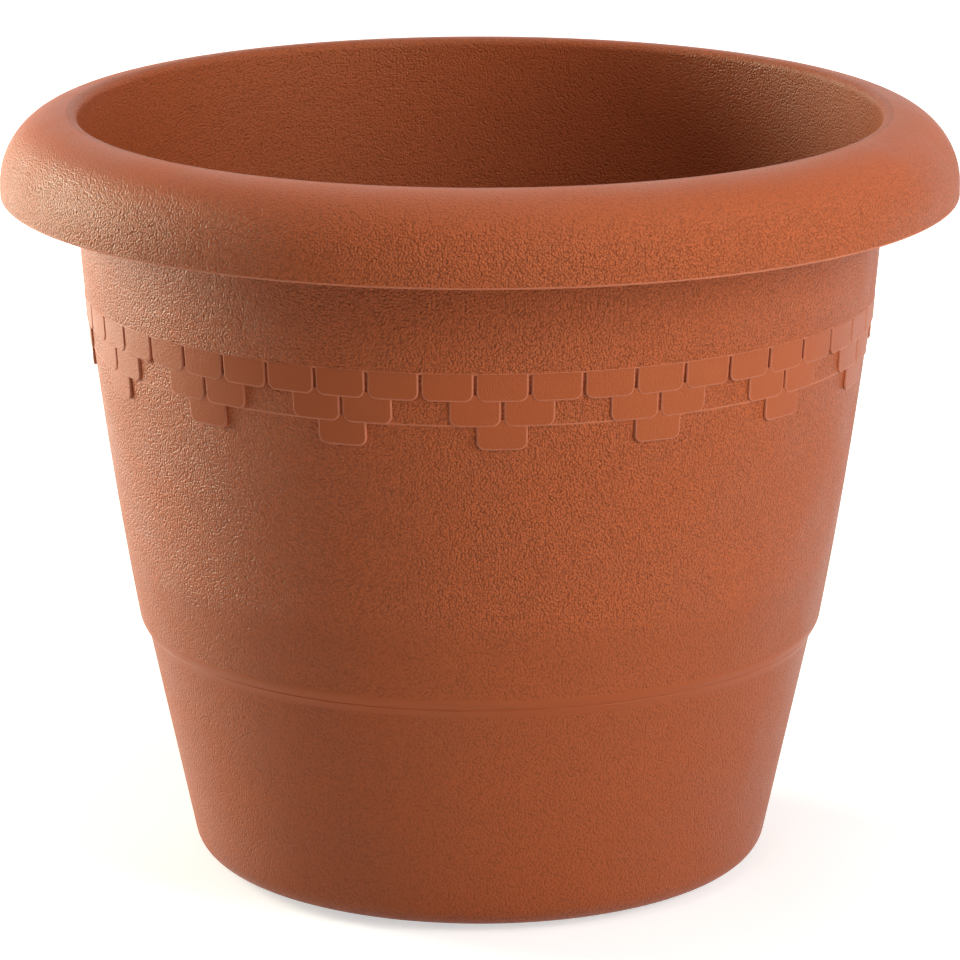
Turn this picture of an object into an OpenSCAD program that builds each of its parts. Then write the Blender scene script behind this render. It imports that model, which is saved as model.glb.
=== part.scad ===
// Round moulded flower pot with a rolled rim and a relief band of shingle tiles.
// It holds a loose slotted grid that rests on an inner shelf, and four push-in drain plugs.
// Origin: centre of the standing plane under the feet, +Z up, millimetres.
// The front, where one group of tiles is centred, faces -Y.

/* [Pot] */
// Overall height, from the feet to the top of the rim
pot_h = 322; // [280:1:380]
// Diameter of the base, where the line of the lower wall meets it
base_d = 240.5; // [200:0.5:260]
// Radius of the rounded corner between the lower wall and the base
base_corner = 12; // [6:1:18]
// Thickness of the wall and the rim
wall_t = 3; // [2:0.1:4]
// Thickness of the floor
floor_t = 3; // [2.5:0.1:5]

/* [Step] */
// Height of the step's lower end, where the straight lower wall begins
step_z = 98; // [90:0.5:112]
// Height over which the wall curves from the upper line in to the lower one
step_rise = 9.5; // [8:0.5:14]
// Diameter that the upper wall would have at the step's lower end
waist_d = 286.4; // [280:0.2:294]
// How far the lower wall is set in at the step
step_in = 2.6; // [1.5:0.1:3.5]
// How far the upper wall bows outward between the step and the rim
belly = 2.2; // [0:0.1:4]
// Height of the fine groove round the step, above the step's lower end
groove_rise = 4.8; // [2:0.1:6]
// Width of that groove at the surface
groove_w = 1; // [0.6:0.1:1.6]
// Depth of that groove
groove_depth = 0.4; // [0.2:0.1:0.8]
// How far the shelf inside lies below the upper end of the step
shelf_drop = 1.5; // [0.5:0.5:4]

/* [Rim] */
// Outer diameter of the rim
rim_d = 400; // [380:1:420]
// Diameter of the mouth
mouth_d = 335; // [325:1:345]
// Diameter of the wall at the level of the skirt's lower edge
neck_d = 338; // [334:0.5:344]
// Radius of the small rounding along the mouth
lip_round = 3.5; // [2:0.5:4.5]
// Height of the straight skirt below the rounded top
skirt_h = 5; // [3:0.5:8]
// Number of stiffening ribs under the rim
rim_rib_count = 16; // [8:1:24]
// Thickness of a rib under the rim
rim_rib_t = 2.2; // [1.5:0.1:3]
// How far the ribs stop above the skirt's lower edge
rim_rib_recess = 9; // [6:0.5:14]

/* [Tile band] */
// Tiles in the full row around the pot, in groups of three
tile_count = 48; // [36:3:54]
// Height of the top edge of the first row
tile_top_z = 246.3; // [230:0.5:260]
// Height of a tile in the first row
tile_h = 10.9; // [8:0.1:13]
// How much lower each following row is
tile_h_step = 0.6; // [0:0.1:1]
// Gap between neighbouring tiles
tile_gap = 1.2; // [0.8:0.1:2]
// Radius of a tile's lower corners
tile_corner = 3.5; // [1:0.1:4]
// How far a tile runs up behind the row above it
tile_lap = 0.5; // [0.3:0.1:1]
// How far a tile's upper edge stands off the wall
tile_tuck = 0.4; // [0.2:0.1:0.7]
// How far a tile's lower edge stands off the wall
tile_flare = 1.1; // [0.7:0.1:1.6]
// How far the band above the tiles stands out over their upper edge
band_flare = 0.8; // [0.5:0.1:1.4]
// How far the plain field between the pairs stands out at its lower edge
field_flare = 0.5; // [0.3:0.1:0.9]

/* [Feet and drain holes] */
// Height of the feet under the floor
foot_h = 2; // [1.5:0.1:4]
// Number of feet
foot_count = 8; // [6:1:12]
// How far the feet stand in from the edge of the flat underside
foot_inset = 6; // [4:0.5:12]
// Width of a foot, measured outward
foot_w = 12; // [8:1:18]
// Angle that one foot spans
foot_span = 30; // [15:1:35]
// Diameter of a drain hole
drain_d = 14; // [12:0.5:16]
// Diameter of the circle that the drain holes lie on
drain_ring_d = 150; // [120:1:160]

/* [Drain plugs] */
// Radial running clearance between a plug and its hole
plug_clearance = 0.08; // [0.03:0.01:0.1]
// Diameter of the plug's sealing flange
plug_flange_d = 24; // [22:0.5:28]
// Thickness of the plug's sealing flange
plug_flange_t = 1.8; // [1.2:0.1:2.5]
// How far the stem passes the underside of the floor
plug_stem_past = 1; // [0.5:0.1:1.4]
// Height of the plug's grip above its flange
plug_grip_h = 11; // [8:0.5:16]
// Diameter of the grip's head
plug_grip_d = 12; // [10:0.5:16]
// Diameter of the grip's waist
plug_waist_d = 7; // [5:0.5:9]
// Bore up the inside of the stem
plug_bore_d = 8; // [6:0.5:9]
// Width of the small bevels on a plug
plug_bevel = 0.5; // [0.3:0.1:0.5]

/* [Reservoir grid] */
// Thickness of the grid's plate
grid_t = 2.5; // [2:0.1:4]
// Gap between the grid's edge and the pot wall
grid_clearance = 0.8; // [0.5:0.1:1.5]
// Height of the stiffening ring and ribs below the plate
grid_rib_h = 8; // [5:0.5:12]
// Thickness of the ring and the ribs
grid_rib_t = 2; // [1.5:0.1:3]
// Number of radial ribs, with one sector of slots between each two
grid_rib_count = 8; // [6:1:12]
// Width of a drainage slot
slot_w = 5; // [3:0.5:7]
// Number of slots one behind the other in a sector
slot_rows = 5; // [3:1:5]
// Plain width left between a slot's end and the nearest rib
slot_margin = 5; // [3:0.5:9]
// Diameter of the wick cup at the plate
cup_top_d = 76; // [70:1:90]
// Diameter of the wick cup at its bottom
cup_bottom_d = 58; // [44:1:66]
// Wall of the wick cup
cup_t = 2; // [1.5:0.1:3]
// Gap between the wick cup and the floor
cup_clearance = 0.5; // [0.3:0.1:2]
// Number of water slots around the wick cup
cup_slot_count = 8; // [4:1:12]
// Width of a water slot
cup_slot_w = 4; // [3:0.5:6]
// Height of a water slot
cup_slot_h = 42; // [20:1:60]

/* [Hidden] */
$fn = 240;

terracotta = [0.70, 0.38, 0.26];
grid_black = [0.16, 0.15, 0.14];
plug_brown = [0.48, 0.22, 0.14];

// How deep one solid is sunk into another that it is fused to
bite = 1;

floor_z = foot_h + floor_t;
base_slope = (waist_d / 2 - step_in - base_d / 2) / (step_z - foot_h);
base_lean = atan(base_slope);

// Centre of the rounded corner at the base, and of the one inside it
corner_c = [lower_r(foot_h + base_corner) - base_corner / cos(base_lean), foot_h + base_corner];
inner_corner = base_corner - wall_t;
inner_c = [
    lower_r(floor_z + inner_corner) - wall_t - inner_corner / cos(base_lean),
    floor_z + inner_corner
];

// The rim's rounded top is a quarter circle from the lip's rounding to the outer edge.
rim_r = rim_d / 2;
mouth_r = mouth_d / 2;
dome_r = mouth_r + lip_round;
rim_round = rim_r - dome_r;
dome_z = pot_h - rim_round;
skirt_z = dome_z - skirt_h;

step_top_z = step_z + step_rise;
groove_z = step_z + groove_rise;
shelf_z = step_top_z - shelf_drop;
shelf_r = lower_r(shelf_z) - wall_t;

tile_pitch = 360 / tile_count;
group_count = tile_count / 3;
group_pitch = 3 * tile_pitch;
tile_w_step = 0.1;

foot_r = corner_c.x - foot_inset;
drain_count = 4;

grid_r = upper_r(shelf_z) - wall_t - grid_clearance;
grid_ring_r = shelf_r - base_slope * grid_rib_h - 2 * grid_clearance;
cup_bottom_z = floor_z + cup_clearance;
slot_pitch = (grid_ring_r - grid_rib_t - cup_top_d / 2) / (slot_rows + 1);

// Radius of the lower wall's outside at height z
function lower_r(z) = base_d / 2 + base_slope * (z - foot_h);

// Radius of the upper wall's outside at height z, without the tile band
function upper_r(z) =
    let (t = (z - step_z) / (skirt_z - step_z))
    waist_d / 2 + (neck_d - waist_d) / 2 * t + 4 * belly * t * (1 - t);

// Radius of the wall's outside within the step, which eases out of the upper wall and into the lower one
function step_r(z) =
    let (t = (step_top_z - z) / step_rise)
    upper_r(z) - step_in * t * t * (3 - 2 * t);

// Height of the upper edge of tile row i, counted from 0 at the top
function row_z(i) = tile_top_z - i * tile_h + tile_h_step * i * (i - 1) / 2;

// Radius of the face of the tiles in row i at height z, a straight line from edge to edge
function tile_face_r(i, z) =
    let (
        top_r = upper_r(row_z(i)) + tile_tuck,
        low_r = upper_r(row_z(i + 1)) + tile_flare
    )
    top_r + (low_r - top_r) * (row_z(i) - z) / (row_z(i) - row_z(i + 1));

// Points of an arc round c with radius r, from angle a to angle b
function arc(c, r, a, b, steps) =
    [for (i = [0:steps]) let (t = a + (b - a) * i / steps) c + r * [cos(t), sin(t)]];

// Heights from a to b, both included, in equal steps
function levels(a, b, steps) = [for (i = [0:steps]) a + (b - a) * i / steps];

// Outside of the upper wall: the field ledge under row two, the plain stretch
// behind row one and the band that ends in a ledge over row one
function relief_outline() = concat(
    [for (z = levels(step_top_z, row_z(2), 9)) [upper_r(z), z]],
    [[upper_r(row_z(2)) + field_flare, row_z(2)]],
    [[upper_r(row_z(1)), row_z(1)]],
    [[upper_r(row_z(0)), row_z(0)]],
    [for (z = levels(row_z(0), skirt_z, 4))
        [upper_r(z) + band_flare * (skirt_z - z) / (skirt_z - row_z(0)), z]]
);

// Section of the moulding, from the middle of the base outward, round the rim and back inside
function pot_outline() =
    concat(
        [[0, foot_h]],
        arc(corner_c, base_corner, -90, -base_lean, 10),
        [for (z = levels(step_z, groove_z - groove_w / 2, 4)) [step_r(z), z]],
        [[step_r(groove_z) - groove_depth, groove_z]],
        [for (z = levels(groove_z + groove_w / 2, step_top_z, 4)) [step_r(z), z]],
        relief_outline(),
        [[upper_r(dome_z), dome_z]],
        arc([dome_r, dome_z], rim_round - wall_t, 90, 0, 16),
        [[rim_r - wall_t, skirt_z], [rim_r, skirt_z]],
        arc([dome_r, dome_z], rim_round, 0, 90, 24),
        arc([dome_r, pot_h - lip_round], lip_round, 90, 180, 6),
        [for (z = levels(skirt_z, shelf_z, 9)) [upper_r(z) - wall_t, z]],
        [[shelf_r, shelf_z]],
        arc(inner_c, inner_corner, -base_lean, -90, 8),
        [[0, floor_z]]
    );

// A tile seen from outside: square at the top, rounded at the lower corners
module tile_outline(w, h) {
    translate([-w / 2, -h + tile_corner]) square([w, h - tile_corner + 2 * tile_lap]);
    translate([-w / 2 + tile_corner, -h]) square([w - 2 * tile_corner, h]);
    for (side = [-1, 1])
        translate([side * (w / 2 - tile_corner), -h + tile_corner]) circle(tile_corner, $fn = 48);
}

// One row of tiles: a ring that flares downward, kept only where a tile is
module tile_row(i, angles) {
    top = row_z(i);
    low = row_z(i + 1);
    w = tile_w_step * round((2 * PI * upper_r(low) / tile_count - tile_gap) / tile_w_step);
    inner_r = upper_r(low) - 2 * bite;
    intersection() {
        rotate_extrude()
            polygon([
                [upper_r(top) - bite, top + tile_lap],
                [upper_r(low) - 2 * bite, low - bite],
                [tile_face_r(i, low - bite), low - bite],
                [tile_face_r(i, top + tile_lap), top + tile_lap]
            ]);
        for (a = angles)
            rotate(a - 90) translate([inner_r, 0, top]) rotate([90, 0, 90])
                linear_extrude(tile_h) tile_outline(w, top - low);
    }
}

// The three rows: a full one, pairs under every third joint, and one tile under each pair
module tile_band() {
    tile_row(0, [for (g = [0:group_count - 1], k = [-1:1]) g * group_pitch + k * tile_pitch]);
    tile_row(1, [for (g = [0:group_count - 1], k = [-0.5, 0.5]) g * group_pitch + k * tile_pitch]);
    tile_row(2, [for (g = [0:group_count - 1]) g * group_pitch]);
}

// Radial ribs that stiffen the rim, hidden in its hollow underside
module rim_ribs() {
    low = skirt_z + rim_rib_recess;
    start = asin((low - dome_z) / (rim_round - bite));
    intersection() {
        rotate_extrude()
            polygon(concat(
                [[upper_r(dome_z) - bite, low]],
                arc([dome_r, dome_z], rim_round - bite, start, 90, 12),
                [[dome_r - bite, pot_h - 2 * bite]]
            ));
        for (i = [0:rim_rib_count - 1])
            rotate(i * 360 / rim_rib_count) translate([mouth_r, -rim_rib_t / 2, skirt_z])
                cube([rim_r - mouth_r, rim_rib_t, pot_h - skirt_z]);
    }
}

// Low pads that hold the floor and its drain holes clear of the ground
module feet() {
    for (i = [0:foot_count - 1])
        rotate(i * 360 / foot_count - foot_span / 2)
            rotate_extrude(angle = foot_span)
                translate([foot_r - foot_w, 0]) square([foot_w, foot_h + bite]);
}

// Places what follows at each drain hole, or at one of them
module at_drain(i) {
    rotate((i + 0.5) * 360 / drain_count) translate([drain_ring_d / 2, 0]) children();
}

module pot_body() {
    color(terracotta)
        difference() {
            union() {
                rotate_extrude() polygon(pot_outline());
                tile_band();
                rim_ribs();
                feet();
            }
            for (i = [0:drain_count - 1])
                at_drain(i) translate([0, 0, -bite]) cylinder(d = drain_d, h = floor_z + 2 * bite, $fn = 64);
        }
}

// Section of a plug: hollow stem, sealing flange and a waisted grip
function plug_outline() =
    let (
        stem_r = drain_d / 2 - plug_clearance,
        flange_r = plug_flange_d / 2,
        waist_r = plug_waist_d / 2,
        head_r = plug_grip_d / 2,
        low = foot_h - plug_stem_past,
        grip = floor_z + plug_flange_t,
        top = grip + plug_grip_h,
        fillet = plug_grip_h / 5,
        head_round = 2 * plug_bevel
    )
    concat(
        [[plug_bore_d / 2, low], [stem_r - plug_bevel, low], [stem_r, low + plug_bevel]],
        [[stem_r, floor_z], [flange_r - plug_bevel, floor_z], [flange_r, floor_z + plug_bevel]],
        [[flange_r, grip - plug_bevel], [flange_r - plug_bevel, grip]],
        arc([waist_r + fillet, grip + fillet], fillet, 270, 180, 6),
        [[waist_r, grip + plug_grip_h / 2], [head_r, grip + plug_grip_h * 3 / 4]],
        arc([head_r - head_round, top - head_round], head_round, 0, 90, 4),
        [[0, top], [0, floor_z], [plug_bore_d / 2, floor_z]]
    );

module drain_plug(i) {
    color(plug_brown)
        at_drain(i) rotate_extrude($fn = 96) polygon(plug_outline());
}

// Section of the wick cup, which opens at the plate and stops just above the floor
function cup_outline() =
    let (
        top = shelf_z + grid_t,
        low = cup_bottom_z,
        top_r = cup_top_d / 2,
        low_r = cup_bottom_d / 2
    )
    [
        [0, low], [low_r - cup_t, low], [low_r, low + cup_t], [top_r, shelf_z], [top_r, top],
        [top_r - cup_t, top], [low_r - cup_t, low + 2 * cup_t], [low_r - 2 * cup_t, low + cup_t],
        [0, low + cup_t]
    ];

// One sector's slots: arcs one behind the other between two ribs
module grid_slots() {
    for (row = [0:slot_rows - 1]) {
        mid_r = cup_top_d / 2 + slot_pitch * (row + 1);
        span = 360 / grid_rib_count - 2 * asin((slot_margin + grid_rib_t / 2) / mid_r);
        rotate(-span / 2)
            rotate_extrude(angle = span)
                translate([mid_r - slot_w / 2, shelf_z - bite]) square([slot_w, grid_t + 2 * bite]);
    }
}

module reservoir_grid() {
    rib_start = cup_top_d / 2 - cup_t;
    rib_end = grid_ring_r - grid_rib_t / 2;
    slot_start = cup_bottom_d / 2 - 3 * cup_t;
    slot_end = cup_top_d / 2 + 3 * cup_t;
    color(grid_black)
        difference() {
            union() {
                // Plate
                translate([0, 0, shelf_z])
                    difference() {
                        cylinder(r = grid_r, h = grid_t);
                        translate([0, 0, -bite]) cylinder(d = cup_top_d - cup_t, h = grid_t + 2 * bite);
                    }
                // Stiffening ring inside the shelf
                translate([0, 0, shelf_z - grid_rib_h])
                    difference() {
                        cylinder(r = grid_ring_r, h = grid_rib_h + bite);
                        translate([0, 0, -bite])
                            cylinder(r = grid_ring_r - grid_rib_t, h = grid_rib_h + 3 * bite);
                    }
                // Radial ribs between the cup and the ring
                for (i = [0:grid_rib_count - 1])
                    rotate(i * 360 / grid_rib_count)
                        translate([rib_start, -grid_rib_t / 2, shelf_z - grid_rib_h])
                            cube([rib_end - rib_start, grid_rib_t, grid_rib_h + bite]);
                rotate_extrude() polygon(cup_outline());
            }
            for (i = [0:grid_rib_count - 1])
                rotate((i + 0.5) * 360 / grid_rib_count) grid_slots();
            // Water slots low in the cup's wall
            for (i = [0:cup_slot_count - 1])
                rotate((i + 0.5) * 360 / cup_slot_count)
                    translate([slot_start, -cup_slot_w / 2, cup_bottom_z + 4 * cup_t])
                        cube([slot_end - slot_start, cup_slot_w, cup_slot_h]);
        }
}

module drain_plug_1() { drain_plug(0); }
module drain_plug_2() { drain_plug(1); }
module drain_plug_3() { drain_plug(2); }
module drain_plug_4() { drain_plug(3); }

pot_body();
reservoir_grid();
drain_plug_1();
drain_plug_2();
drain_plug_3();
drain_plug_4();
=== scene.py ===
import math

import bmesh
import bpy
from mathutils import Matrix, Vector


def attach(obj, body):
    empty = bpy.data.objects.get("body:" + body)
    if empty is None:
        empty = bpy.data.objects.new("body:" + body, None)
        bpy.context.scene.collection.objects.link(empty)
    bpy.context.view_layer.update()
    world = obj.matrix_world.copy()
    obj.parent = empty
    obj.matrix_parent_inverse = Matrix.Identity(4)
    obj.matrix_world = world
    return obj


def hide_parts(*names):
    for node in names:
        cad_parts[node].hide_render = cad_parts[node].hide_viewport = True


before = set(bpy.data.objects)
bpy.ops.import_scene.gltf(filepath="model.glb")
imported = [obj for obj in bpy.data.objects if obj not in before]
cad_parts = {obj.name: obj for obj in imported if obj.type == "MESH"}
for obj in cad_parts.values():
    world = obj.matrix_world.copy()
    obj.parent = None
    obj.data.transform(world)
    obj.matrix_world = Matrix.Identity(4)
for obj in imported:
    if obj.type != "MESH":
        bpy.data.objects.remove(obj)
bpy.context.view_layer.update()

# Camera. It looks down at the pot from 0.4 m above the rim and about two metres in front, through
# a long lens. The middle of a tile group stands three degrees to the right of it.
pot_distance = 2.1363
camera_height = 0.7177
aim_height = 0.1613
camera_turn = math.radians(-93.05)
camera_data = bpy.data.cameras.new("camera")
camera_data.sensor_width = 36
camera_data.lens = 195
camera = bpy.data.objects.new("camera", camera_data)
camera.location = (
    pot_distance * math.cos(camera_turn),
    pot_distance * math.sin(camera_turn),
    camera_height,
)
sight = Vector((0, 0, aim_height)) - camera.location
camera.rotation_mode = "QUATERNION"
camera.rotation_quaternion = sight.to_track_quat("-Z", "Y")
bpy.context.scene.collection.objects.link(camera)
bpy.context.scene.camera = camera

# Pot moulding. Wall, rim, step, shelf and floor are one shot of terracotta coloured polypropylene,
# 3 mm thick. They are drawn here as one section and spun round the pot's axis, as a core and cavity
# turned on a lathe would leave them. Lengths are in millimetres until they are multiplied by mm.
mm = 0.001
turn_steps, degrees_per_face = 240, 22.5

pot_top = 322
wall = 3
underside, floor_top = 2, 5
base_r, base_round, straight_low = 120.25, 12, 22
step_low, step_rise, step_in = 98, 9.5, 2.6
groove_z, groove_w, groove_deep = 102.8, 1, 0.4
waist_r, neck_r, belly = 143.2, 169, 2.2
step_top = step_low + step_rise
shelf_drop = 1.5
shelf = step_top - shelf_drop
rim_r, mouth_r, lip_round = 200, 167.5, 3.5
dome_r = mouth_r + lip_round
dome_round = rim_r - dome_r
hollow_round = dome_round - wall
dome_z = pot_top - dome_round
skirt_h = 5
skirt = dome_z - skirt_h
neck_in, neck_drop = 1.2, 6
row_edges = [246.3, 235.4, 225.1, 215.4]
band_stands, field_stands = 0.8, 0.5

base_slope = (waist_r - step_in - base_r) / (step_low - underside)
base_lean = math.atan(base_slope)


# The outer radius of the wall at a height: below the step, above it, and along it.
def lower_wall(z):
    return base_r + base_slope * (z - underside)


def upper_wall(z):
    t = (z - step_low) / (skirt - step_low)
    return waist_r + (neck_r - waist_r) * t + 4 * belly * t * (1 - t)


def step_wall(z):
    t = (step_top - z) / step_rise
    return upper_wall(z) - step_in * t * t * (3 - 2 * t)


def arc(centre, radius, start, end, steps):
    """Points along an arc, from angle start to angle end in degrees."""
    points = []
    for i in range(steps + 1):
        a = math.radians(start + (end - start) * i / steps)
        points.append((centre[0] + radius * math.cos(a), centre[1] + radius * math.sin(a)))
    return points


def along(line, start, end, steps):
    """Points on a wall line, given as radius over height, from one height to another."""
    return [(line(z), z) for z in (start + (end - start) * i / steps for i in range(steps + 1))]


def ease_corners(points, rounds):
    """Rounds a section's corners, with the radius that rounds gives for a point's index."""
    eased = []
    for i, p in enumerate(points):
        if i not in rounds:
            eased.append(p)
            continue
        here = Vector(p)
        back = (Vector(points[i - 1]) - here).normalized()
        on = (Vector(points[(i + 1) % len(points)]) - here).normalized()
        half = back.angle(on) / 2
        reach = rounds[i] / math.tan(half)
        centre = here + (back + on).normalized() * rounds[i] / math.sin(half)
        first, last = here + back * reach, here + on * reach
        a0 = math.degrees(math.atan2(*(first - centre).yx))
        a1 = math.degrees(math.atan2(*(last - centre).yx))
        sweep = (a1 - a0 + 180) % 360 - 180
        steps = max(2, round(abs(sweep) / degrees_per_face))
        eased += arc(centre, rounds[i], a0, a0 + sweep, steps)
    return eased


def draw_section(name, points, filled=False):
    """A new object with one closed outline in the plane y = 0, drawn by extruding a vertex."""
    bpy.ops.object.select_all(action="DESELECT")
    bpy.ops.mesh.primitive_plane_add(size=mm, location=(points[0][0] * mm, 0, points[0][1] * mm))
    piece = bpy.context.object
    piece.name = name
    bpy.ops.object.transform_apply(location=True, rotation=True, scale=True)
    bpy.ops.object.mode_set(mode="EDIT")
    bpy.ops.mesh.select_mode(type="VERT")
    bpy.ops.mesh.select_all(action="SELECT")
    bpy.ops.mesh.merge(type="CENTER")
    for (r0, z0), (r1, z1) in zip(points, points[1:]):
        bpy.ops.mesh.extrude_vertices_move(
            TRANSFORM_OT_translate={"value": ((r1 - r0) * mm, 0, (z1 - z0) * mm)}
        )
    drawn = bmesh.from_edit_mesh(piece.data)
    drawn.verts.ensure_lookup_table()
    drawn.verts[0].select = True
    bpy.ops.mesh.edge_face_add()
    bpy.ops.mesh.select_all(action="SELECT")
    if filled:
        bpy.ops.mesh.edge_face_add()
    return piece


def spin_round(steps, degrees=360, copies=False):
    """Spins the whole mesh, or copies of it, about the pot's axis, anticlockwise from above."""
    bpy.ops.mesh.select_all(action="SELECT")
    bpy.ops.mesh.spin(
        steps=steps, dupli=copies, angle=-math.radians(degrees), center=(0, 0, 0), axis=(0, 0, 1)
    )


def close_up():
    """Merges doubles, drops the stray edge on the axis and points all faces outwards."""
    bpy.ops.mesh.select_all(action="SELECT")
    bpy.ops.mesh.remove_doubles(threshold=0.002 * mm)
    bpy.ops.mesh.delete_loose()
    bpy.ops.mesh.select_all(action="SELECT")
    bpy.ops.mesh.normals_make_consistent(inside=False)


corner = (
    lower_wall(underside + base_round) - base_round / math.cos(base_lean),
    underside + base_round,
)
inner_round = base_round - wall
inner_corner = (
    lower_wall(floor_top + inner_round) - wall - inner_round / math.cos(base_lean),
    floor_top + inner_round,
)
floor_ring = 4
fade_steps = 8

# Most stretches end a few millimetres before the next corner, which keeps the faces there even.
section = [(0, underside), (corner[0] - floor_ring, underside)]
section += arc(corner, base_round, -90, -math.degrees(base_lean), 12)
section += along(lower_wall, straight_low, step_low - 1.5, 6)
section += along(step_wall, step_low, groove_z - groove_w / 2, 5)
groove_corner = len(section)
section += [(step_wall(groove_z) - groove_deep, groove_z)]
section += along(step_wall, groove_z + groove_w / 2, step_top, 5)
section += along(upper_wall, step_top + 3, row_edges[2] - 1, 14)
field_corner = len(section)
section += [(upper_wall(row_edges[2]), row_edges[2])]
section += [(upper_wall(row_edges[2]) + field_stands, row_edges[2])]
section += [(upper_wall(row_edges[1]), row_edges[1])]
section += [(upper_wall(row_edges[0]), row_edges[0])]
band_corner = len(section)
section += [(upper_wall(row_edges[0]) + band_stands, row_edges[0])]
for i in range(1, fade_steps + 1):
    z = row_edges[0] + (skirt - row_edges[0]) * i / fade_steps
    section.append((upper_wall(z) + band_stands * (1 - i / fade_steps), z))
section += [(upper_wall(dome_z), dome_z)]
section += [(dome_r - neck_in, dome_z + hollow_round - neck_drop)]
section += [(dome_r, dome_z + hollow_round)]
section += arc((dome_r, dome_z), hollow_round, 84, 0, 14)
skirt_corner = len(section)
section += [(rim_r - wall, skirt), (rim_r, skirt)]
section += arc((dome_r, dome_z), dome_round, 0, 90, 30)
section += arc((dome_r, pot_top - lip_round), lip_round, 101, 180, 7)
section += along(lambda z: upper_wall(z) - wall, skirt, shelf + 2, 12)
shelf_corner = len(section)
section += [(upper_wall(shelf) - wall, shelf), (lower_wall(shelf) - wall, shelf)]
section += along(lambda z: lower_wall(z) - wall, shelf - 3, floor_top + inner_round + 6, 4)
section += arc(inner_corner, inner_round, -math.degrees(base_lean), -90, 8)
section += [(inner_corner[0] - floor_ring, floor_top), (0, floor_top)]
section = ease_corners(
    section,
    {
        groove_corner - 1: 0.35,
        groove_corner: 0.2,
        groove_corner + 1: 0.35,
        field_corner + 1: 0.4,
        band_corner: 0.5,
        skirt_corner: 0.6,
        skirt_corner + 1: 0.8,
        shelf_corner: 0.6,
        shelf_corner + 1: 0.8,
    },
)

pot = draw_section("pot_moulding", section)
spin_round(turn_steps)
close_up()
bpy.ops.object.mode_set(mode="OBJECT")

# Drain holes. Four round holes through the floor, each with a small countersink on both sides, left
# by pins of the mould. The plugs further down close them.
drain_count, drain_r, drain_ring, drain_start = 4, 7, 75, 45
drain_steps = 48
countersink, pin_reach = 0.4, 3


def shift_all(x, y, z):
    """Moves the whole mesh in edit mode, in millimetres."""
    bpy.ops.mesh.select_all(action="SELECT")
    bpy.ops.transform.translate(value=(x * mm, y * mm, z * mm))


def turn_all(degrees):
    """Turns the whole mesh about the pot's axis in edit mode, anticlockwise from above."""
    bpy.ops.mesh.select_all(action="SELECT")
    bpy.ops.transform.rotate(
        value=-math.radians(degrees), orient_axis="Z", center_override=(0, 0, 0)
    )


def copy_round(count):
    """Copies the whole mesh evenly round the pot's axis, to so many in all."""
    spin_round(count - 1, 360 - 360 / count, copies=True)


hole_pins = draw_section(
    "hole_pins",
    [
        (0, underside - pin_reach),
        (drain_r + countersink + pin_reach, underside - pin_reach),
        (drain_r, underside + countersink),
        (drain_r, floor_top - countersink),
        (drain_r + countersink + pin_reach, floor_top + pin_reach),
        (0, floor_top + pin_reach),
    ],
)
spin_round(drain_steps)
close_up()
first_hole = math.radians(drain_start)
shift_all(drain_ring * math.cos(first_hole), drain_ring * math.sin(first_hole), 0)
copy_round(drain_count)
bpy.ops.object.mode_set(mode="OBJECT")


def select_only(piece):
    """Makes a piece the only one that is selected, and the active one."""
    bpy.ops.object.select_all(action="DESELECT")
    bpy.context.view_layer.objects.active = piece
    piece.select_set(True)


def cut_out(piece, cutter):
    """Takes the cutter's solids out of a piece, and removes the cutter."""
    select_only(piece)
    cut = piece.modifiers.new("cut", "BOOLEAN")
    cut.operation = "DIFFERENCE"
    cut.solver = "EXACT"
    cut.object = cutter
    bpy.ops.object.modifier_apply(modifier=cut.name)
    bpy.data.objects.remove(cutter)


cut_out(pot, hole_pins)

# Feet. Eight low curved pads under the floor hold the drain holes clear of the ground. They belong
# to the moulding, and their lower edges are rounded over.
foot_inset, foot_w, foot_span, foot_count = 6, 12, 30, 8
foot_round, foot_root, foot_steps = 0.7, 1, 10
foot_out = corner[0] - foot_inset

# How far apart verts may be, in metres or in degrees, and still count as being in one place.
near, near_turn = 0.1 * mm, 0.05


def draw_curved_block(name, points, span, steps):
    """A new object with a section spun through span degrees, half of them either side of y = 0."""
    block = draw_section(name, points, filled=True)
    turn_all(-span / 2)
    spin_round(steps, span)
    close_up()
    return block


def at_end(vert, span):
    """Whether a vert lies on either end of a curved block with this span in degrees."""
    turn = math.degrees(math.atan2(vert.co.y, vert.co.x))
    return abs(abs(turn) - span / 2) < near_turn


def extent(edge, axis):
    """How far an edge goes along an axis."""
    return abs(getattr(edge.verts[0].co, axis) - getattr(edge.verts[1].co, axis))


def round_edges(piece, wanted, radius, segments, clamp=False):
    """Rounds over those edges of a piece in edit mode that wanted() says yes to."""
    bpy.ops.mesh.select_all(action="DESELECT")
    bpy.ops.mesh.select_mode(type="EDGE")
    shown = bmesh.from_edit_mesh(piece.data)
    for edge in shown.edges:
        if wanted(edge):
            edge.select_set(True)
    shown.select_flush_mode()
    bmesh.update_edit_mesh(piece.data)
    bpy.ops.mesh.bevel(
        offset=radius * mm, segments=segments, affect="EDGES", clamp_overlap=clamp
    )


feet = draw_curved_block(
    "feet",
    [
        (foot_out - foot_w, 0),
        (foot_out, 0),
        (foot_out, underside + foot_root),
        (foot_out - foot_w, underside + foot_root),
    ],
    foot_span,
    foot_steps,
)
round_edges(
    feet,
    lambda e: all(v.co.z < near for v in e.verts) and e.calc_face_angle() > math.radians(45),
    foot_round,
    segments=3,
    clamp=True,
)
copy_round(foot_count)
bpy.ops.object.mode_set(mode="OBJECT")

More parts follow.
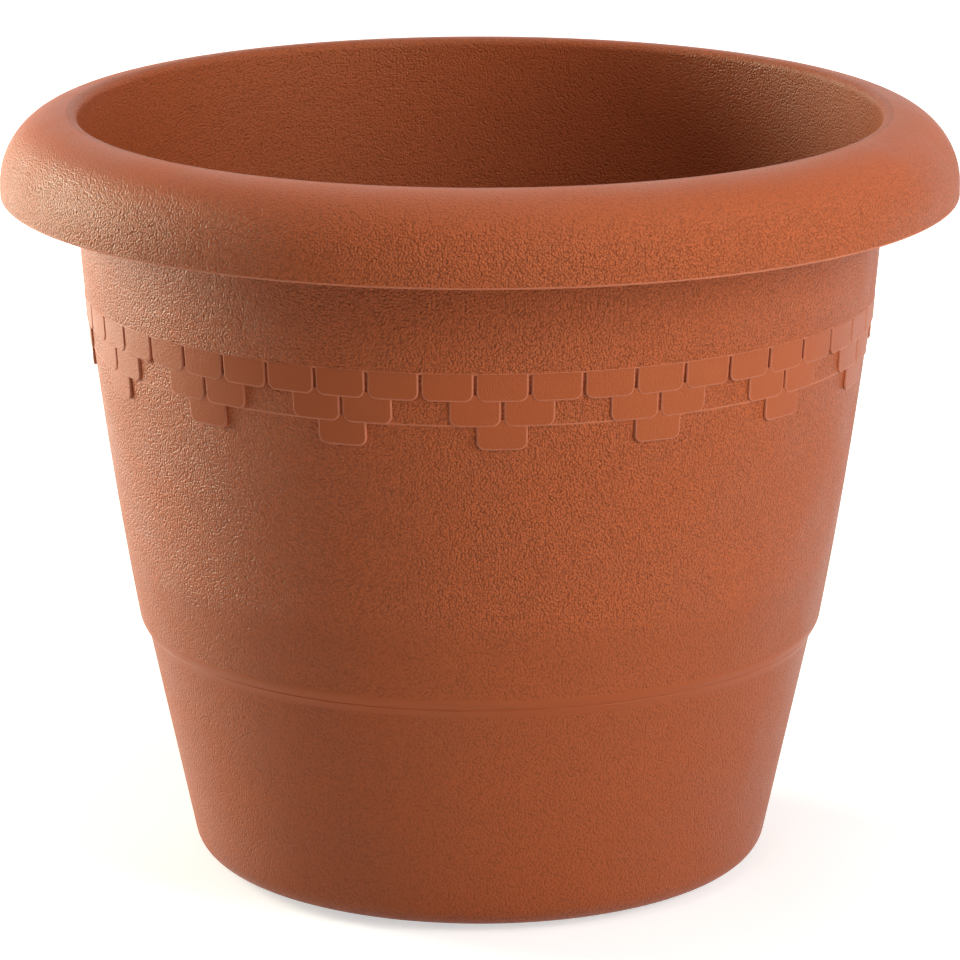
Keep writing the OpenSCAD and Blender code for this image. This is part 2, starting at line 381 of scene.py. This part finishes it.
# Rim ribs. Sixteen thin plates stand in the hollow under the rim and stiffen it. They are moulded
# in one shot with it, and show from below.
rib_w, rib_count, rib_recess, rib_root = 2.2, 16, 9, 1
rib_round = 0.5
rib_low = skirt + rib_recess
rib_start = math.degrees(math.asin((rib_low - dome_z) / (dome_round - rib_root)))


def draw_plate(name, points, thickness):
    """A new object with a section extruded to a plate, which stands astride y = 0."""
    plate = draw_section(name, points, filled=True)
    shift_all(0, -thickness / 2, 0)
    bpy.ops.mesh.extrude_region_move(TRANSFORM_OT_translate={"value": (0, thickness * mm, 0)})
    close_up()
    return plate


rim_ribs = draw_plate(
    "rim_ribs",
    [(upper_wall(dome_z) - rib_root, rib_low)]
    + arc((dome_r, dome_z), dome_round - rib_root, rib_start, 90, 10)
    + [(dome_r - rib_root, pot_top - 2 * rib_root)],
    rib_w,
)
round_edges(
    rim_ribs,
    lambda e: all(v.co.z < rib_low * mm + near for v in e.verts) and extent(e, "y") < near,
    rib_round,
    segments=2,
)
copy_round(rib_count)
bpy.ops.object.mode_set(mode="OBJECT")

# Shingle tiles. A belt of smooth tiles is sunk into the cavity of the mould, so they stand out of
# the wall: a full row, pairs below it, and single tiles below those. Each runs up behind the row
# above it and leans out to its lower edge.
tile_count, group_count = 48, 16
tile_gap, tile_round, tile_edge, tile_steps = 1, 3.6, 0.8, 4
tile_laps, tile_tuck, tile_flare, tile_sunk = [0.5, 3, 3], 0.95, 1.4, 1.5
face_slack = 0.15
pitch = 360 / tile_count


def tile_row(row, together, groups):
    """One tile, modelled to the right of the pot, turned to the front and copied to its row."""
    top, low = row_edges[row] + tile_laps[row], row_edges[row + 1]
    width = 2 * math.pi * upper_wall(low) / tile_count - tile_gap
    span = math.degrees(width / upper_wall(low))
    low_r = upper_wall(low) + tile_flare
    lean = (low_r - upper_wall(row_edges[row]) - tile_tuck) / (row_edges[row] - low)
    top_r = low_r - lean * (top - low)
    row_tiles = draw_curved_block(
        "tiles_row_%d" % (row + 1),
        [
            (top_r - tile_sunk, top),
            (low_r - tile_flare - tile_sunk, low),
            (low_r, low),
            (top_r, top),
        ],
        span,
        tile_steps,
    )

    def on_face(v):
        face_r = low_r - lean * (v.co.z / mm - low)
        return abs(math.hypot(v.co.x, v.co.y) / mm - face_r) < face_slack

    round_edges(
        row_tiles,
        lambda e: all(at_end(v, span) and v.co.z < low * mm + near for v in e.verts)
        and e.verts[0].co.y * e.verts[1].co.y > 0,
        tile_round,
        segments=7,
    )
    round_edges(
        row_tiles,
        lambda e: all(on_face(v) for v in e.verts)
        and not all(all(on_face(v) for v in f.verts) for f in e.link_faces)
        and not all(v.co.z > top * mm - near for v in e.verts),
        tile_edge,
        segments=4,
        clamp=True,
    )
    # The rounded face edges take the second material, which adds a painted highlight.
    for face in bmesh.from_edit_mesh(row_tiles.data).faces:
        face.material_index = 1 if face.select else 0
    turn_all(-90 - (together - 1) * pitch / 2)
    if together > 1:
        spin_round(together - 1, (together - 1) * pitch, copies=True)
    copy_round(groups)
    bpy.ops.object.mode_set(mode="OBJECT")
    return row_tiles


tile_rows = [
    tile_row(0, 1, tile_count),
    tile_row(1, 2, group_count),
    tile_row(2, 1, group_count),
]

# Terracotta polypropylene. The colour is in the plastic, with hardly any mottling. The mould is
# etched with a pebble grain, which is weaker towards the rim's top and inside, and fades out along
# the step. The tiles have a much finer one. Edges that stand out of the wall get a painted
# highlight.
terracotta = (0.405, 0.088, 0.028)
# A paler colour added to edges that stand out of the wall, as a painted highlight.
painted_highlight_colour = (0.09, 0.06, 0.05)
warm_sheen = (1, 0.98, 0.72, 1)
wall_pebbles, wall_grain = 1080, 0.6
tile_pebbles, tile_grain = 1300, 0.12
lip_grain, lip_fade, inside_grain = 0.25, 21, 0.5
# The grain's valleys darken as painted shade and its crowns lighten as painted light; the inside
# gets painted shade.
valley_painted_shade, crown_painted_light, inside_painted_shade, tile_shade = 0.78, 1.17, 0.85, 0.91
wall_lean, inside_from, inside_to = 0.12, 134, 133


def new_material(name):
    """A node material, its node tree, the shader that feeds its output, and object coordinates."""
    material = bpy.data.materials.new(name)
    material.use_nodes = True
    tree = material.node_tree
    tree.nodes.clear()
    output = tree.nodes.new("ShaderNodeOutputMaterial")
    shader = tree.nodes.new("ShaderNodeBsdfPrincipled")
    tree.links.new(shader.outputs["BSDF"], output.inputs["Surface"])
    place = tree.nodes.new("ShaderNodeTexCoord").outputs["Object"]
    return material, tree, shader, place


def add_node(tree, kind, inputs=(), **settings):
    """A node with its settings, whose inputs are values or the outputs that they are linked to."""
    node = tree.nodes.new(kind)
    for key, value in settings.items():
        setattr(node, key, value)
    for key, value in dict(inputs).items():
        if isinstance(value, bpy.types.NodeSocket):
            tree.links.new(value, node.inputs[key])
        else:
            node.inputs[key].default_value = value
    return node


def calculate(tree, how, *values):
    """The output of a Math node that works on the values."""
    return add_node(tree, "ShaderNodeMath", enumerate(values), operation=how).outputs[0]


def fade(tree, value, start, end, low=0, high=1):
    """A value that goes smoothly from low to high, as the input goes from start to end."""
    ramp = {"Value": value, "From Min": start, "From Max": end, "To Min": low, "To Max": high}
    eased = add_node(tree, "ShaderNodeMapRange", ramp, interpolation_type="SMOOTHSTEP")
    return eased.outputs["Result"]


def scaled(tree, colour, share):
    """The output of a node that multiplies a colour by a share."""
    inputs = {0: colour, "Scale": share}
    return add_node(tree, "ShaderNodeVectorMath", inputs, operation="SCALE").outputs["Vector"]


# Moulded grain: rounded pebbles, unevenly spaced, with narrow valleys between them.
grain_group = bpy.data.node_groups.new("moulded grain", "ShaderNodeTree")
for label, kind, way in [
    ("Vector", "NodeSocketVector", "INPUT"),
    ("Pebbles per metre", "NodeSocketFloat", "INPUT"),
    ("Unevenness", "NodeSocketFloat", "INPUT"),
    ("Height", "NodeSocketFloat", "OUTPUT"),
]:
    grain_group.interface.new_socket(name=label, in_out=way, socket_type=kind)
given = grain_group.nodes.new("NodeGroupInput").outputs
result = grain_group.nodes.new("NodeGroupOutput").inputs
pebbles = add_node(
    grain_group,
    "ShaderNodeTexVoronoi",
    {"Vector": given["Vector"], "Scale": given["Pebbles per metre"], "Randomness": 0.9},
    feature="F1",
)
fine = add_node(
    grain_group,
    "ShaderNodeTexNoise",
    {"Vector": given["Vector"], "Scale": given["Pebbles per metre"], "Detail": 0},
)
dome = calculate(grain_group, "MULTIPLY", pebbles.outputs["Distance"], pebbles.outputs["Distance"])
fine_part = calculate(grain_group, "MULTIPLY", fine.outputs["Fac"], given["Unevenness"])
grain_group.links.new(calculate(grain_group, "SUBTRACT", fine_part, dome), result["Height"])


def colour_plastic(tree, shader, place, tone_and_painted_light, painted_highlight, least_rough, most_rough):
    """Terracotta times a tone and painted shade, plus a painted highlight, cloudy in colour and
    gloss.
    """
    clouds = add_node(tree, "ShaderNodeTexNoise", {"Vector": place, "Scale": 30, "Detail": 4})
    cloudy = fade(tree, clouds.outputs["Fac"], 0.3, 0.7, 0.98, 1.02)
    plain = scaled(tree, terracotta, calculate(tree, "MULTIPLY", cloudy, tone_and_painted_light))
    # A paler colour is added where the painted highlight is on.
    parts = {0: plain, 1: scaled(tree, painted_highlight_colour, painted_highlight)}
    colour = add_node(tree, "ShaderNodeVectorMath", parts, operation="ADD").outputs["Vector"]
    tree.links.new(colour, shader.inputs["Base Color"])
    roughness = fade(tree, clouds.outputs["Fac"], 0.35, 0.65, least_rough, most_rough)
    tree.links.new(roughness, shader.inputs["Roughness"])
    shader.inputs["Specular IOR Level"].default_value = 0.2
    shader.inputs["Specular Tint"].default_value = warm_sheen


def grain_height(tree, place, density, unevenness=0.35):
    """The height of the moulded grain, with so many pebbles per metre."""
    inputs = {"Vector": place, "Pebbles per metre": density, "Unevenness": unevenness}
    return add_node(tree, "ShaderNodeGroup", inputs, node_tree=grain_group).outputs["Height"]


def emboss(tree, shader, relief, depth):
    """Bumps the surface by a relief, which is given as a share of the depth in metres."""
    bump = add_node(tree, "ShaderNodeBump", {"Height": relief, "Strength": 1, "Distance": depth})
    tree.links.new(bump.outputs["Normal"], shader.inputs["Normal"])


grained, tree, shader, place = new_material("grained_terracotta")
height = add_node(tree, "ShaderNodeSeparateXYZ", {0: place}).outputs["Z"]
off_lip = fade(tree, height, (pot_top - 0.5) * mm, (pot_top - lip_fade) * mm, lip_grain, 1)

# The wall leans out by a share of its height, so its inside is where the radius less that is small.
flat = add_node(tree, "ShaderNodeVectorMath", {0: place, 1: (1, 1, 0)}, operation="MULTIPLY")
radius = add_node(tree, "ShaderNodeVectorMath", {0: flat.outputs["Vector"]}, operation="LENGTH")
upright = calculate(tree, "MULTIPLY_ADD", height, -wall_lean, radius.outputs["Value"])
inside = fade(tree, upright, inside_from * mm, inside_to * mm)


def keep_off(tree, height, low, high, soft):
    """A mask that is 0 between two heights and 1 further than soft from them."""
    over = fade(tree, height, high, high + soft)
    under = fade(tree, height, low, low - soft)
    return calculate(tree, "MAXIMUM", over, under)


off_step = keep_off(tree, height, (groove_z - 2.8) * mm, (groove_z + 4) * mm, 1.6 * mm)
off_edges = 1
for edge, width in [(row_edges[2], 0.5), (row_edges[0], 0.6), (skirt, 0.7)]:
    off_edge = keep_off(tree, height, edge * mm, (edge + width) * mm, 0.4 * mm)
    off_edges = calculate(tree, "MULTIPLY", off_edges, off_edge)
off_edges = calculate(tree, "MAXIMUM", off_edges, inside)
amount = calculate(tree, "MAXIMUM", off_lip, inside)
for mask in [off_step, off_edges, fade(tree, inside, 0, 1, 1, inside_grain)]:
    amount = calculate(tree, "MULTIPLY", amount, mask)
relief = calculate(tree, "MULTIPLY", grain_height(tree, place, wall_pebbles), amount)
emboss(tree, shader, relief, wall_grain * mm)
# Painted shade in the grain's valleys, painted light on its crowns, and painted shade inside the
# pot.
painted_grain_shading = fade(tree, relief, -0.25, 0.2, valley_painted_shade, crown_painted_light)
tone_and_painted_light = calculate(tree, "MULTIPLY", painted_grain_shading, fade(tree, inside, 0, 1, 1, inside_painted_shade))
# A painted highlight along the ledges' edges and the skirt's edge, but not inside.
painted_highlight = fade(tree, off_edges, 0, 1, 1, 0)
colour_plastic(tree, shader, place, tone_and_painted_light, painted_highlight, least_rough=0.4, most_rough=0.48)

# Tile faces, and tile edges with a painted highlight.
tile_materials = []
for name, painted_highlight in [("smooth_terracotta", 0), ("edge_highlight_terracotta", 1)]:
    tile_material, tree, shader, place = new_material(name)
    emboss(tree, shader, grain_height(tree, place, tile_pebbles), tile_grain * mm)
    colour_plastic(tree, shader, place, tile_shade, painted_highlight, least_rough=0.38, most_rough=0.45)
    tile_materials.append(tile_material)


def finish_faces(piece, material, sharp=32):
    """Gives a piece its material, and smooth shading that keeps its flat faces flat."""
    piece.data.materials.append(material)
    select_only(piece)
    bpy.ops.object.shade_smooth_by_angle(angle=math.radians(sharp))
    weigh = piece.modifiers.new("weigh", "WEIGHTED_NORMAL")
    weigh.keep_sharp = True
    bpy.ops.object.modifier_apply(modifier=weigh.name)


def join_to(piece, others):
    """Makes the others part of the piece's mesh."""
    select_only(piece)
    for other in others:
        other.select_set(True)
    bpy.ops.object.join()


for piece in [pot, feet, rim_ribs]:
    finish_faces(piece, grained)
for piece in tile_rows:
    finish_faces(piece, tile_materials[0])
    piece.data.materials.append(tile_materials[1])
join_to(pot, [feet, rim_ribs] + tile_rows)
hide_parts("pot_body")
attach(pot, "pot")

# Reservoir grid. A loose false floor moulded in black polypropylene: a plate with arcs of drainage
# slots, a stiffening ring and ribs below it, and a wick cup in the middle that stands in the water.
grid_t, grid_gap, grid_rib_h, grid_rib_t = 2.5, 0.8, 8, 2
cup_top_r, cup_low_r, cup_t, cup_low = 38, 29, 2, floor_top + 0.5
grid_sectors, slot_rows, slot_w, slot_margin, slot_round = 8, 5, 5, 5, 2
water_w, water_from, water_to, water_reach, water_round = 4, 8, 50, 6, 1.6
cut_past, rib_bite = 1, 1
grid_top = shelf + grid_t
grid_r = upper_wall(shelf) - wall - grid_gap
ring_r = lower_wall(shelf - grid_rib_h) - wall - 2 * grid_gap
ring_in = ring_r - grid_rib_t

grid = draw_section(
    "reservoir_grid_moulding",
    ease_corners(
        [
            (0, cup_low),
            (cup_low_r - cup_t, cup_low),
            (cup_low_r, cup_low + cup_t),
            (cup_top_r, shelf),
            (ring_in, shelf),
            (ring_in, shelf - grid_rib_h),
            (ring_r, shelf - grid_rib_h),
            (ring_r, shelf),
            (grid_r, shelf),
            (grid_r, grid_top),
            (cup_top_r - cup_t, grid_top),
            (cup_low_r - cup_t, cup_low + 2 * cup_t),
            (cup_low_r - 2 * cup_t, cup_low + cup_t),
            (0, cup_low + cup_t),
        ],
        {1: 0.8, 2: 0.8, 3: 1, 4: 0.6, 5: 0.5, 6: 0.5, 7: 0.5, 8: 0.5, 9: 0.8, 10: 1.2},
    ),
)
spin_round(turn_steps)
close_up()
bpy.ops.object.mode_set(mode="OBJECT")

slot_pitch = (ring_in - cup_top_r) / (slot_rows + 1)
slot_cutters = []
for row in range(slot_rows):
    mid = cup_top_r + slot_pitch * (row + 1)
    span = 360 / grid_sectors - 2 * math.degrees(math.asin((slot_margin + grid_rib_t / 2) / mid))
    slot_in, slot_out = mid - slot_w / 2, mid + slot_w / 2
    low, top = shelf - cut_past, grid_top + cut_past
    cutter = draw_curved_block(
        "slot_cutter_%d" % (row + 1),
        [(slot_in, low), (slot_out, low), (slot_out, top), (slot_in, top)],
        span,
        round(span / 1.5),
    )
    round_edges(
        cutter,
        lambda e: extent(e, "z") > near and at_end(e.verts[0], span),
        slot_round,
        segments=4,
    )
    turn_all(180 / grid_sectors)
    copy_round(grid_sectors)
    bpy.ops.object.mode_set(mode="OBJECT")
    slot_cutters.append(cutter)
join_to(slot_cutters[0], slot_cutters[1:])
cut_out(grid, slot_cutters[0])

# The water slots low in the cup, cut as eight plates that reach through its wall.
water_cutters = draw_plate(
    "water_cutters",
    [
        (cup_low_r - water_reach, cup_low + water_from),
        (cup_top_r + water_reach, cup_low + water_from),
        (cup_top_r + water_reach, cup_low + water_to),
        (cup_low_r - water_reach, cup_low + water_to),
    ],
    water_w,
)
round_edges(
    water_cutters,
    lambda e: extent(e, "x") > near,
    water_round,
    segments=3,
)
turn_all(180 / grid_sectors)
copy_round(grid_sectors)
bpy.ops.object.mode_set(mode="OBJECT")
cut_out(grid, water_cutters)

grid_ribs = draw_plate(
    "grid_ribs",
    [
        (cup_top_r - cup_t, shelf - grid_rib_h),
        (ring_in + rib_bite, shelf - grid_rib_h),
        (ring_in + rib_bite, shelf + rib_bite),
        (cup_top_r - cup_t, shelf + rib_bite),
    ],
    grid_rib_t,
)
round_edges(
    grid_ribs,
    lambda e: all(v.co.z < (shelf - grid_rib_h) * mm + near for v in e.verts)
    and extent(e, "x") > near,
    rib_round,
    segments=2,
)
copy_round(grid_sectors)
bpy.ops.object.mode_set(mode="OBJECT")


def dull_in_patches(tree, shader, place, density, detail, least_rough, most_rough):
    """Roughness that varies in soft patches, as it does where the melt has flowed."""
    inputs = {"Vector": place, "Scale": density, "Detail": detail, "Roughness": 0.6}
    flow = add_node(tree, "ShaderNodeTexNoise", inputs).outputs["Fac"]
    tree.links.new(fade(tree, flow, 0.3, 0.7, least_rough, most_rough), shader.inputs["Roughness"])


black_plastic, tree, shader, place = new_material("black_polypropylene")
emboss(tree, shader, grain_height(tree, place, 1200, unevenness=0.6), 0.2 * mm)
dull_in_patches(tree, shader, place, density=45, detail=4, least_rough=0.4, most_rough=0.56)
shader.inputs["Base Color"].default_value = (0.012, 0.011, 0.0105, 1)
shader.inputs["Specular IOR Level"].default_value = 0.4
for piece in [grid, grid_ribs]:
    finish_faces(piece, black_plastic)
join_to(grid, [grid_ribs])
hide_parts("reservoir_grid")
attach(grid, "grid")

# Drain plugs. Four brown polyethylene plugs, one in each drain hole: a hollow stem, a sealing
# flange that lies on the floor, and a waisted grip to pull it out by.
plug_play = 0.08
stem_r, stem_bore, stem_low = drain_r - plug_play, 4, 1
plug_flange_r, plug_flange_t = 12, 1.8
plug_waist, plug_head, plug_grip = 3.5, 6, 11
grip = floor_top + plug_flange_t
fillet = plug_grip / 5
plug_top = grip + plug_grip

brown_plastic, tree, shader, place = new_material("brown_polyethylene")
emboss(tree, shader, grain_height(tree, place, 2200, unevenness=1), 0.04 * mm)
dull_in_patches(tree, shader, place, density=160, detail=3, least_rough=0.42, most_rough=0.55)
shader.inputs["Base Color"].default_value = (0.14, 0.032, 0.014, 1)
shader.inputs["Specular IOR Level"].default_value = 0.35

first_plug = draw_section(
    "drain_plug_moulding_1",
    ease_corners(
        [(stem_bore, stem_low), (stem_r, stem_low), (stem_r, floor_top), (plug_flange_r, floor_top)]
        + [(plug_flange_r, grip)]
        + arc((plug_waist + fillet, grip + fillet), fillet, 270, 180, 6)
        + [(plug_waist, grip + plug_grip / 2), (plug_head, grip + plug_grip * 3 / 4)]
        + [(plug_head, plug_top), (0, plug_top), (0, floor_top), (stem_bore, floor_top)],
        {0: 0.3, 1: 0.5, 3: 0.5, 4: 0.6, 12: 1, 13: 0.8, 14: 1, 17: 0.6},
    ),
)
spin_round(drain_steps)
close_up()
shift_all(drain_ring, 0, 0)
turn_all(drain_start)
bpy.ops.object.mode_set(mode="OBJECT")
finish_faces(first_plug, brown_plastic)
plugs = [first_plug]
for i in range(1, drain_count):
    plug = first_plug.copy()
    plug.data = first_plug.data.copy()
    plug.name = "drain_plug_moulding_%d" % (i + 1)
    bpy.context.scene.collection.objects.link(plug)
    select_only(plug)
    bpy.ops.object.mode_set(mode="EDIT")
    turn_all(360 / drain_count * i)
    bpy.ops.object.mode_set(mode="OBJECT")
    plugs.append(plug)
for i, plug in enumerate(plugs):
    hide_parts("drain_plug_%d" % (i + 1))
    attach(plug, "plug_%d" % (i + 1))

# Studio. A pale floor that runs out of sight under a white surround, a large soft light low on the
# left behind the pot, a broad one low on the right, and weak ones in front, overhead and behind.
lamp_distance = 2
glow_from, glow_to, least_glow = 0.3, 1.2, 0.55
bpy.ops.object.select_all(action="DESELECT")
bpy.ops.mesh.primitive_plane_add(size=60, location=(0, 0, 0))
floor = bpy.context.object
floor.name = "floor"
floor_paint, tree, shader, place = new_material("floor_paint")
shader.inputs["Base Color"].default_value = (0.76, 0.76, 0.76, 1)
shader.inputs["Roughness"].default_value = 0.9
shader.inputs["Specular IOR Level"].default_value = 0.1

# Only the camera and reflections see the floor's glow, which rises outwards to meet the surround.
far = add_node(tree, "ShaderNodeVectorMath", {0: place}, operation="LENGTH").outputs["Value"]
ray = add_node(tree, "ShaderNodeLightPath")
seen = calculate(tree, "MAXIMUM", ray.outputs["Is Camera Ray"], ray.outputs["Is Glossy Ray"])
glow = calculate(tree, "MULTIPLY", seen, fade(tree, far, glow_from, glow_to, least_glow, 1))
tree.links.new(glow, shader.inputs["Emission Strength"])
shader.inputs["Emission Color"].default_value = (1, 1, 1, 1)
floor.data.materials.append(floor_paint)

# The surround is white to the camera and in reflections, and otherwise gives hardly any light.
surround = bpy.data.worlds.new("surround")
bpy.context.scene.world = surround
surround.use_nodes = True
tree = surround.node_tree
tree.nodes.clear()
sky_out = tree.nodes.new("ShaderNodeOutputWorld")
sky = add_node(tree, "ShaderNodeBackground", {"Color": (1, 1, 1, 1)})
tree.links.new(sky.outputs["Background"], sky_out.inputs["Surface"])
ray = add_node(tree, "ShaderNodeLightPath")
seen = calculate(tree, "MAXIMUM", ray.outputs["Is Camera Ray"], ray.outputs["Is Transmission Ray"])
seen = calculate(tree, "MAXIMUM", seen, ray.outputs["Is Glossy Ray"])
tree.links.new(fade(tree, seen, 0, 1, 0.02, 1), sky.inputs["Strength"])


def softbox(name, turn, rise, size, power, colour=(1, 1, 1)):
    """A rectangular light that faces the pot. turn is in degrees to the right of the camera."""
    light = bpy.data.lights.new(name, "AREA")
    light.shape = "RECTANGLE"
    light.size, light.size_y = size
    light.energy = power
    light.color = colour
    lamp = bpy.data.objects.new(name, light)
    a = camera_turn + math.radians(turn)
    up = math.radians(rise)
    lamp.location = (
        lamp_distance * math.cos(up) * math.cos(a),
        lamp_distance * math.cos(up) * math.sin(a),
        lamp_distance * math.sin(up) + aim_height,
    )
    beam = Vector((0, 0, aim_height)) - lamp.location
    lamp.rotation_mode = "QUATERNION"
    lamp.rotation_quaternion = beam.to_track_quat("-Z", "Y")
    bpy.context.scene.collection.objects.link(lamp)


softbox("left_softbox", -119, 10, size=(0.95, 1.1), power=71, colour=(0.97, 1, 0.8))
softbox("right_softbox", 57, 19, size=(1.1, 1.4), power=36, colour=(1, 1, 0.95))
softbox("front_softbox", -10, 42, size=(0.6, 0.6), power=3)
softbox("top_softbox", 20, 80, size=(1.2, 1.2), power=14)
softbox("back_softbox", 180, 50, size=(0.8, 0.6), power=4)

bpy.context.scene.view_settings.view_transform = "Standard"
